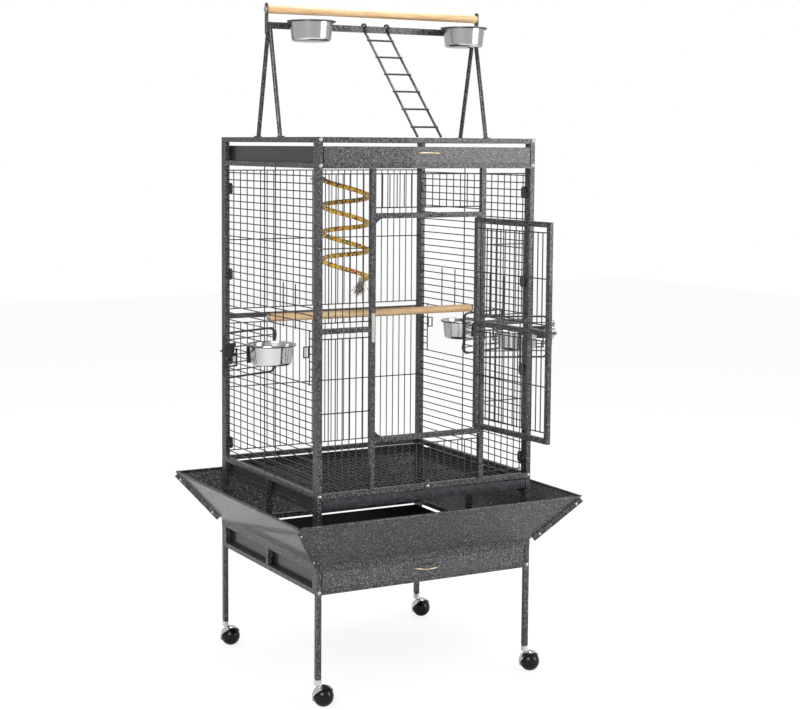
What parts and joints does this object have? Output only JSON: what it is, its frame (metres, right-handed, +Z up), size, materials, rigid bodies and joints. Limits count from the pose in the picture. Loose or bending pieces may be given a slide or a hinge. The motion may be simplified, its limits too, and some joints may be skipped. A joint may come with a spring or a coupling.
{
  "type": "bird cage",
  "caption": "Play top bird cage on castors with a front door, swing-out feeder bowls, seed guards, pull-out trays, a ladder and a hanging rope spiral.",
  "frame": {"origin": "on the floor under the middle of the cage body, half way between its side frames and half way between its front and back frames", "axes": "+Z up, the front with the main door faces -Y, +X to the right seen from the front"},
  "size_m": [0.956, 0.9604, 1.702],
  "materials": {
    "hammertone": "dark grey hammertone powder coat",
    "dark_wire": "dark powder coated wire",
    "stainless": "pressed stainless steel, polished",
    "chrome_trim": "bright plating",
    "zinc": "pale zinc plating",
    "brass_pull": "pale brass plated wire",
    "black_ball": "glossy black ball",
    "perch_wood": "sanded pale hardwood",
    "clear_plastic": "clear smooth plastic",
    "rope_cotton": "cotton rope of many colours"
  },
  "bodies": {
    "cage": {"stand_legs": "hammertone", "stand_left_frame": "hammertone", "stand_right_frame": "hammertone", "stand_cross_rails": "hammertone", "seed_guard_front": "hammertone", "seed_guard_back": "hammertone", "seed_guard_left": "hammertone", "seed_guard_right": "hammertone", "front_frame": "hammertone", "back_frame": "hammertone", "left_side_frame": "hammertone", "right_side_frame": "hammertone", "front_bars": "dark_wire", "back_bars": "dark_wire", "left_bars": "dark_wire", "right_bars": "dark_wire", "ceiling_bars": "dark_wire", "corner_tabs": "hammertone", "screws": "zinc", "inner_perch": "perch_wood", "perch_bolts": "zinc", "play_stand_left": "hammertone", "play_stand_right": "hammertone", "play_crossbar": "hammertone", "top_perch": "perch_wood", "top_bowl_rings": "dark_wire", "strike_plate": "zinc", "rope_top_clip": "clear_plastic", "rope_spiral": "rope_cotton", "rope_bell": "clear_plastic"},
    "main_door": {"main_door": "hammertone", "main_door_bars": "dark_wire", "door_lock": "chrome_trim"},
    "lock_lever": {"lock_lever": "chrome_trim"},
    "waste_tray": {"waste_tray": "hammertone", "waste_tray_handle": "brass_pull"},
    "top_tray": {"top_tray": "hammertone", "top_tray_handle": "brass_pull"},
    "floor_grate": {"floor_grate": "dark_wire"},
    "grate_latch": {"grate_latch": "hammertone"},
    "ladder": {"ladder": "dark_wire"},
    "feeder_door_left_front": {"feeder_door_left_front": "dark_wire"},
    "feeder_latch_left_front": {"feeder_latch_left_front": "dark_wire"},
    "bowl_left_front": {"bowl_left_front": "stainless"},
    "feeder_door_right_front": {"feeder_door_right_front": "dark_wire"},
    "feeder_latch_right_front": {"feeder_latch_right_front": "dark_wire"},
    "bowl_right_front": {"bowl_right_front": "stainless"},
    "feeder_door_right_back": {"feeder_door_right_back": "dark_wire"},
    "feeder_latch_right_back": {"feeder_latch_right_back": "dark_wire"},
    "bowl_right_back": {"bowl_right_back": "stainless"},
    "bowl_top_left": {"bowl_top_left": "stainless"},
    "bowl_top_right": {"bowl_top_right": "stainless"},
    "caster_hood_front_left": {"caster_hood_front_left": "chrome_trim"},
    "caster_ball_front_left": {"caster_ball_front_left": "black_ball"},
    "caster_hood_front_right": {"caster_hood_front_right": "chrome_trim"},
    "caster_ball_front_right": {"caster_ball_front_right": "black_ball"},
    "caster_hood_back_left": {"caster_hood_back_left": "chrome_trim"},
    "caster_ball_back_left": {"caster_ball_back_left": "black_ball"},
    "caster_hood_back_right": {"caster_hood_back_right": "chrome_trim"},
    "caster_ball_back_right": {"caster_ball_back_right": "black_ball"}
  },
  "joints": [
    {"name": "main_door_hinge", "type": "hinge", "parent": "cage", "child": "main_door", "pos_m": [0.14045, -0.281, 0.911], "axis": [0, 0, 1], "range_deg": [-95, 20]},
    {"name": "lock_lever_turn", "type": "hinge", "parent": "main_door", "child": "lock_lever", "pos_m": [0.17475, -0.55832, 0.914], "axis": [0.9962, 0.0872, 0], "range_deg": [-90, 0]},
    {"name": "waste_tray_slide", "type": "slide", "parent": "cage", "child": "waste_tray", "axis": [0, -1, 0], "range_m": [0, 0.5]},
    {"name": "top_tray_slide", "type": "slide", "parent": "cage", "child": "top_tray", "axis": [0, -1, 0], "range_m": [0, 0.5]},
    {"name": "floor_grate_slide", "type": "slide", "parent": "cage", "child": "floor_grate", "axis": [0, -1, 0], "range_m": [0, 0.5]},
    {"name": "grate_latch_turn", "type": "hinge", "parent": "cage", "child": "grate_latch", "pos_m": [0, -0.2871, 0.51275], "axis": [0, 1, 0], "range_deg": [-180, 0]},
    {"name": "ladder_hinge", "type": "hinge", "parent": "cage", "child": "ladder", "pos_m": [0, 0, 1.646], "axis": [-1, 0, 0], "range_deg": [0, 50]},
    {"name": "feeder_hinge_left_front", "type": "hinge", "parent": "cage", "child": "feeder_door_left_front", "pos_m": [-0.30135, -0.0426, 0.843], "axis": [0, 0, 1], "range_deg": [-20, 68]},
    {"name": "feeder_latch_slide_left_front", "type": "slide", "parent": "feeder_door_left_front", "child": "feeder_latch_left_front", "axis": [-0.9272, -0.3746, 0], "range_m": [0, 0.012]},
    {"name": "bowl_lift_left_front", "type": "slide", "parent": "feeder_door_left_front", "child": "bowl_left_front", "axis": [0, 0, 1], "range_m": [0, 0.03]},
    {"name": "feeder_hinge_right_front", "type": "hinge", "parent": "cage", "child": "feeder_door_right_front", "pos_m": [0.30135, -0.0426, 0.843], "axis": [0, 0, 1], "range_deg": [-68, 20]},
    {"name": "feeder_latch_slide_right_front", "type": "slide", "parent": "feeder_door_right_front", "child": "feeder_latch_right_front", "axis": [0.9272, -0.3746, 0], "range_m": [0, 0.012]},
    {"name": "bowl_lift_right_front", "type": "slide", "parent": "feeder_door_right_front", "child": "bowl_right_front", "axis": [0, 0, 1], "range_m": [0, 0.03]},
    {"name": "feeder_hinge_right_back", "type": "hinge", "parent": "cage", "child": "feeder_door_right_back", "pos_m": [0.30135, 0.0426, 0.843], "axis": [0, 0, 1], "range_deg": [-20, 68]},
    {"name": "feeder_latch_slide_right_back", "type": "slide", "parent": "feeder_door_right_back", "child": "feeder_latch_right_back", "axis": [0.9272, 0.3746, 0], "range_m": [0, 0.012]},
    {"name": "bowl_lift_right_back", "type": "slide", "parent": "feeder_door_right_back", "child": "bowl_right_back", "axis": [0, 0, 1], "range_m": [0, 0.03]},
    {"name": "bowl_lift_top_left", "type": "slide", "parent": "cage", "child": "bowl_top_left", "axis": [0, 0, 1], "range_m": [0, 0.06]},
    {"name": "bowl_lift_top_right", "type": "slide", "parent": "cage", "child": "bowl_top_right", "axis": [0, 0, 1], "range_m": [0, 0.06]},
    {"name": "caster_swivel_front_left", "type": "hinge", "parent": "cage", "child": "caster_hood_front_left", "pos_m": [-0.29865, -0.27965, 0.0667], "axis": [0, 0, 1], "continuous": true},
    {"name": "caster_spin_front_left", "type": "hinge", "parent": "caster_hood_front_left", "child": "caster_ball_front_left", "pos_m": [-0.28678, -0.28707, 0.025], "axis": [0.5299, 0.848, 0], "continuous": true},
    {"name": "caster_swivel_front_right", "type": "hinge", "parent": "cage", "child": "caster_hood_front_right", "pos_m": [0.29865, -0.27965, 0.0667], "axis": [0, 0, 1], "continuous": true},
    {"name": "caster_spin_front_right", "type": "hinge", "parent": "caster_hood_front_right", "child": "caster_ball_front_right", "pos_m": [0.31052, -0.28707, 0.025], "axis": [0.5299, 0.848, 0], "continuous": true},
    {"name": "caster_swivel_back_left", "type": "hinge", "parent": "cage", "child": "caster_hood_back_left", "pos_m": [-0.29865, 0.27965, 0.0667], "axis": [0, 0, 1], "continuous": true},
    {"name": "caster_spin_back_left", "type": "hinge", "parent": "caster_hood_back_left", "child": "caster_ball_back_left", "pos_m": [-0.28678, 0.27223, 0.025], "axis": [0.5299, 0.848, 0], "continuous": true},
    {"name": "caster_swivel_back_right", "type": "hinge", "parent": "cage", "child": "caster_hood_back_right", "pos_m": [0.29865, 0.27965, 0.0667], "axis": [0, 0, 1], "continuous": true},
    {"name": "caster_spin_back_right", "type": "hinge", "parent": "caster_hood_back_right", "child": "caster_ball_back_right", "pos_m": [0.31052, 0.27223, 0.025], "axis": [0.5299, 0.848, 0], "continuous": true}
  ]
}
